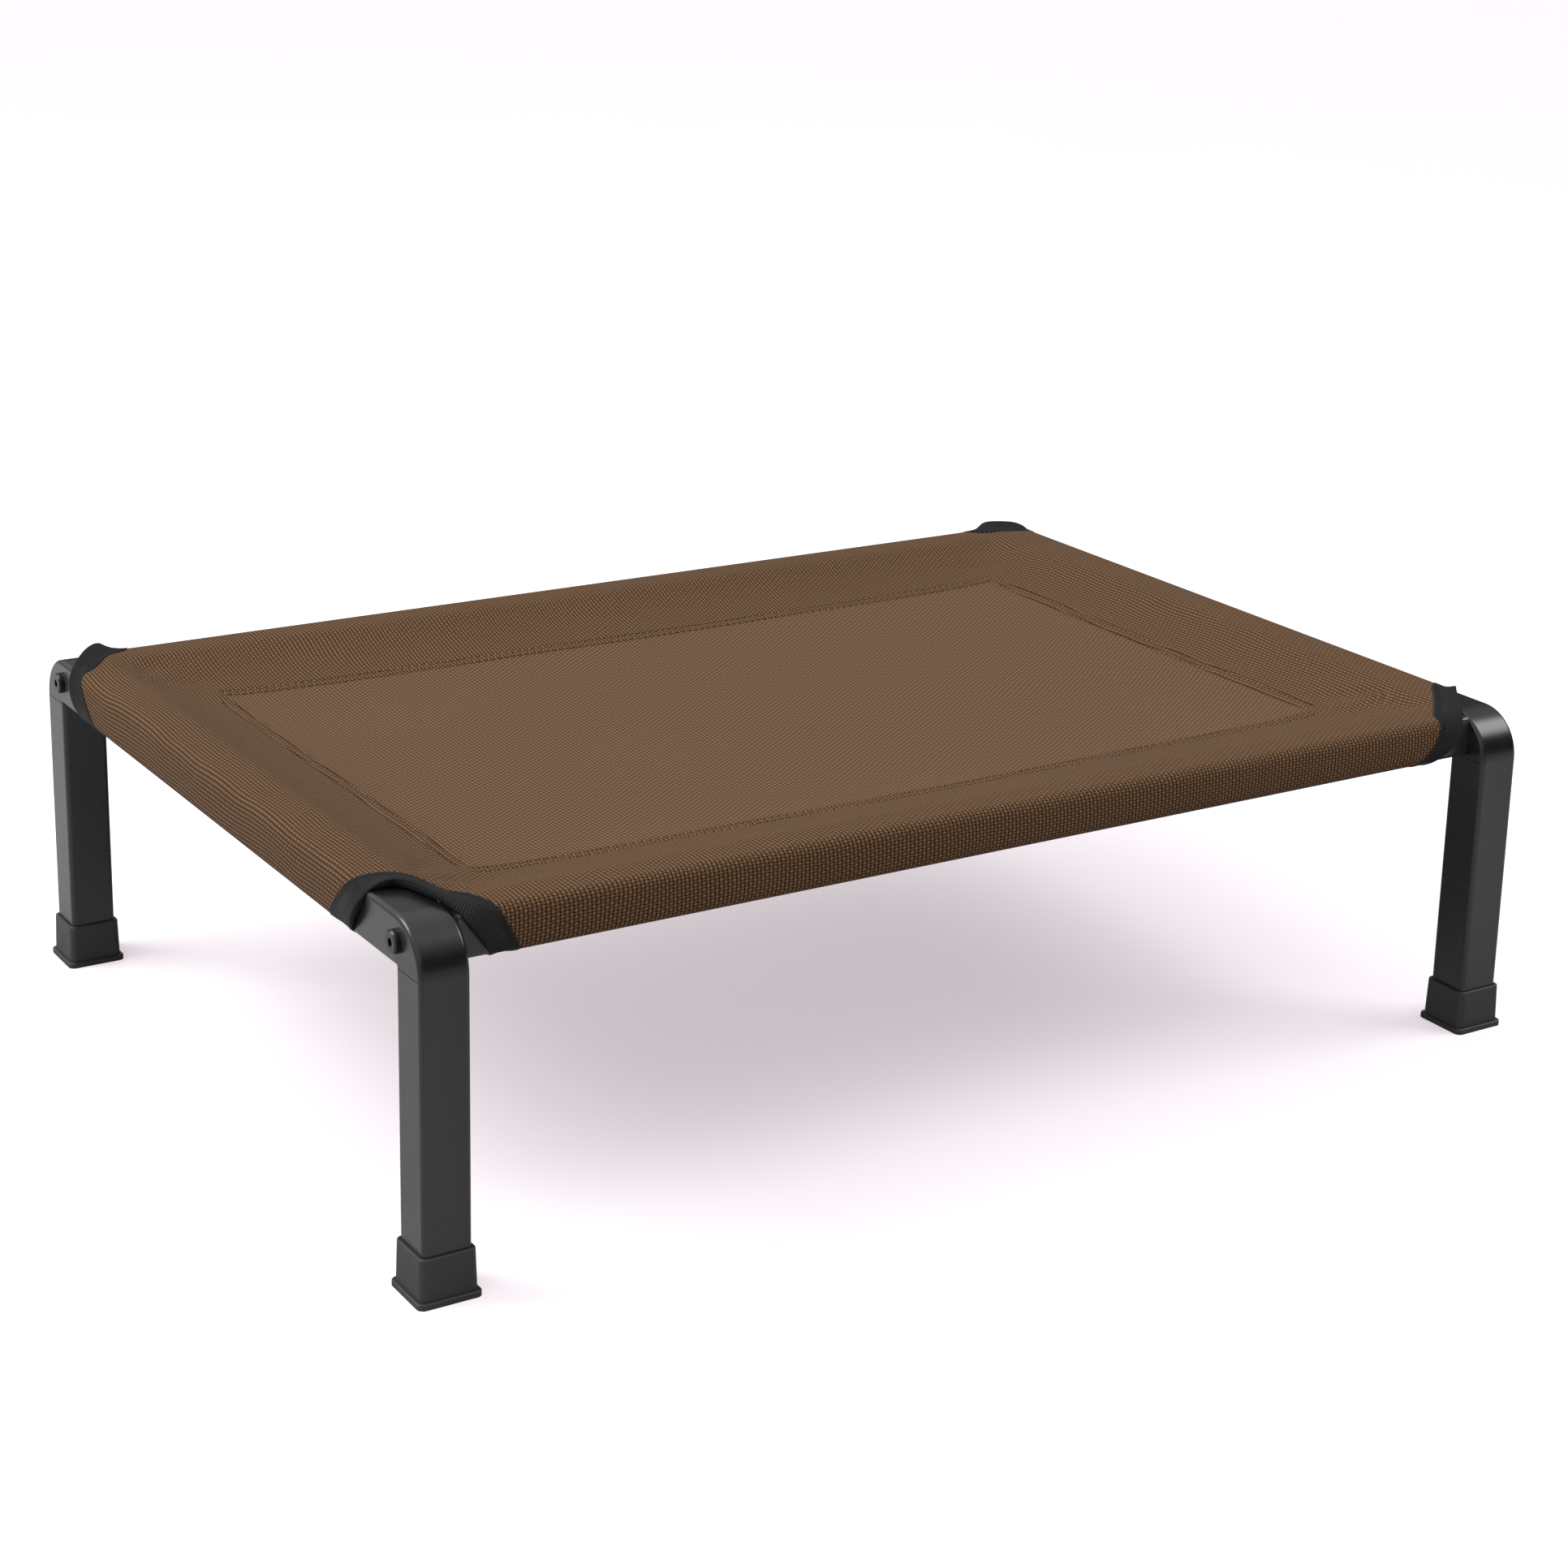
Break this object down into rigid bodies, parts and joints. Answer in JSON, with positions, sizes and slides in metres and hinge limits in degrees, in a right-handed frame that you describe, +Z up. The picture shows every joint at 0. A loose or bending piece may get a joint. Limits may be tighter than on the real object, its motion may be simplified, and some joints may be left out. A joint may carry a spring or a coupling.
{
  "type": "raised dog bed",
  "caption": "Raised rectangular dog bed: a taut woven mesh sling on a square steel tube frame with folded end legs, bolted rails and rubber foot caps.",
  "frame": {"origin": "on the floor, under the middle of the bed", "axes": "+X along the long side, parallel to the rails; +Y along the short side, parallel to the side frames, from front to back; +Z up"},
  "size_m": [0.6676, 0.4914, 0.184],
  "materials": {
    "frame_powder_coat": "satin black powder coat with a fine texture",
    "foot_rubber": "matt moulded black rubber",
    "bolt_black": "black oxide, slight sheen",
    "nut_plate_zinc": "zinc plated",
    "sling_mesh": "brown basket-weave coated mesh, slight sheen",
    "binding_tape": "black herringbone tape",
    "thread": "dark twisted thread"
  },
  "bodies": {
    "root": {"left_side_frame": "frame_powder_coat", "right_side_frame": "frame_powder_coat", "front_rail": "frame_powder_coat", "back_rail": "frame_powder_coat", "sling_panel": "sling_mesh", "left_hem_sleeve": "sling_mesh", "right_hem_sleeve": "sling_mesh", "front_hem_sleeve": "sling_mesh", "back_hem_sleeve": "sling_mesh", "sling_stitching": "thread", "front_left_binding": "binding_tape", "front_left_foot_cap": "foot_rubber", "front_left_bolt": "bolt_black", "front_left_nut_plate": "nut_plate_zinc", "front_right_binding": "binding_tape", "front_right_foot_cap": "foot_rubber", "front_right_bolt": "bolt_black", "front_right_nut_plate": "nut_plate_zinc", "back_left_binding": "binding_tape", "back_left_foot_cap": "foot_rubber", "back_left_bolt": "bolt_black", "back_left_nut_plate": "nut_plate_zinc", "back_right_binding": "binding_tape", "back_right_foot_cap": "foot_rubber", "back_right_bolt": "bolt_black", "back_right_nut_plate": "nut_plate_zinc"}
  },
  "joints": []
}
